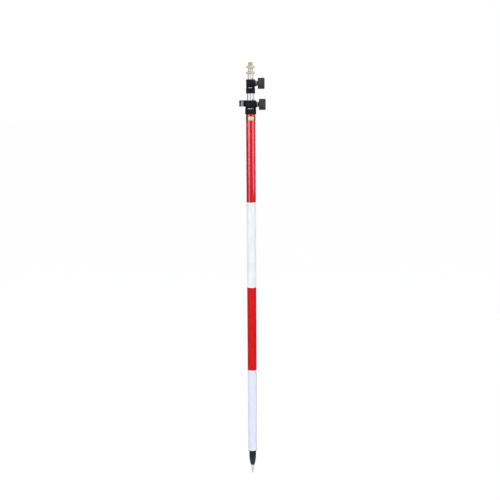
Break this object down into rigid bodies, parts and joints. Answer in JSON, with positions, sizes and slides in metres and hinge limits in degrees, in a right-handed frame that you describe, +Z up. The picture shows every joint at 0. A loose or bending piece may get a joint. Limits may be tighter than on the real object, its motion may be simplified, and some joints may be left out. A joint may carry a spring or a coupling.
{
  "type": "survey prism pole",
  "caption": "Telescopic surveying pole in red and white bands with a steel ground point, knob clamps, a round level and a threaded brass stud for a prism.",
  "frame": {"origin": "tip of the ground point, on the pole's axis", "axes": "+Z up the pole towards the prism stud, +X towards the clamp knobs, -Y towards the clamp ears"},
  "size_m": [0.0894, 0.0566, 1.4663],
  "materials": {
    "steel_point": "ground hardened steel",
    "shoe_plastic": "moulded black, satin",
    "tube_aluminium": "mill finish",
    "white_sleeve": "smooth white sleeve, satin gloss",
    "red_sleeve": "smooth red sleeve, satin gloss",
    "gold_foil": "plain gold foil",
    "nylon": "natural nylon",
    "black_nylon": "black nylon",
    "black_anodised": "black anodised, satin",
    "zinc_steel": "zinc plated",
    "washer_steel": "turned steel",
    "knob_plastic": "moulded black, fine grain",
    "polished_tube": "bright polished and anodised",
    "vial_aluminium": "bead blasted",
    "level_liquid": "clear tinted liquid",
    "level_glass": "clear polished glass",
    "brass": "turned brass, pale",
    "bright_neck": "bright turned steel"
  },
  "bodies": {
    "pole": {"ground_point": "steel_point", "point_shoe": "shoe_plastic", "foot_plug": "tube_aluminium", "foot_pin": "zinc_steel", "outer_tube": "tube_aluminium", "white_sleeve_lower": "white_sleeve", "red_sleeve_lower": "red_sleeve", "white_sleeve_upper": "white_sleeve", "red_sleeve_upper": "red_sleeve", "gold_label": "gold_foil", "outer_mouth_bush": "nylon", "lower_clamp_body": "black_anodised", "lower_clamp_liner": "black_nylon", "lower_clamp_grubs": "zinc_steel", "lower_clamp_nut": "zinc_steel", "level_housing": "black_anodised", "level_vial": "vial_aluminium", "level_liquid": "level_liquid", "level_glass": "level_glass", "level_grubs": "zinc_steel", "level_screw": "zinc_steel"},
    "mid_guide": {"mid_guide_bush": "nylon"},
    "mid_section": {"mid_tube": "polished_tube", "mid_mouth_bush": "nylon", "mid_end_plug": "tube_aluminium", "upper_clamp_body": "black_anodised", "upper_clamp_liner": "black_nylon", "upper_clamp_grubs": "zinc_steel", "upper_clamp_nut": "zinc_steel"},
    "inner_guide": {"inner_guide_bush": "nylon"},
    "inner_section": {"inner_tube": "polished_tube", "inner_end_plug": "tube_aluminium", "tube_cap": "brass", "cap_pin": "zinc_steel", "neck_spacer": "bright_neck", "prism_stud": "brass"},
    "lower_thrust": {"lower_clamp_washer": "washer_steel"},
    "lower_knob": {"lower_clamp_screw": "zinc_steel", "lower_clamp_knob": "knob_plastic", "lower_clamp_cap": "knob_plastic"},
    "upper_thrust": {"upper_clamp_washer": "washer_steel"},
    "upper_knob": {"upper_clamp_screw": "zinc_steel", "upper_clamp_knob": "knob_plastic", "upper_clamp_cap": "knob_plastic"}
  },
  "joints": [
    {"name": "mid_slide", "type": "slide", "parent": "pole", "child": "mid_guide", "axis": [0, 0, 1], "range_m": [-0.0223, 1.1]},
    {"name": "mid_turn", "type": "hinge", "parent": "mid_guide", "child": "mid_section", "pos_m": [0, 0, 1.3392], "axis": [0, 0, 1], "continuous": true},
    {"name": "inner_slide", "type": "slide", "parent": "mid_section", "child": "inner_guide", "axis": [0, 0, 1], "range_m": [-0.0178, 1.1]},
    {"name": "inner_turn", "type": "hinge", "parent": "inner_guide", "child": "inner_section", "pos_m": [0, 0, 1.4092], "axis": [0, 0, 1], "continuous": true},
    {"name": "lower_knob_travel", "type": "slide", "parent": "pole", "child": "lower_thrust", "axis": [1, 0, 0], "range_m": [0, 0.002]},
    {"name": "lower_knob_turn", "type": "hinge", "parent": "lower_thrust", "child": "lower_knob", "pos_m": [0.0204, -0.01905, 1.3257], "axis": [1, 0, 0], "range_deg": [0, 721]},
    {"name": "upper_knob_travel", "type": "slide", "parent": "mid_section", "child": "upper_thrust", "axis": [1, 0, 0], "range_m": [0, 0.002]},
    {"name": "upper_knob_turn", "type": "hinge", "parent": "upper_thrust", "child": "upper_knob", "pos_m": [0.0169, -0.01605, 1.3957], "axis": [1, 0, 0], "range_deg": [0, 721]}
  ],
  "couplings": [
    {"joint": "lower_knob_turn", "follows": "lower_knob_travel", "rad_per_m": 6283.2},
    {"joint": "upper_knob_turn", "follows": "upper_knob_travel", "rad_per_m": 6283.2}
  ]
}
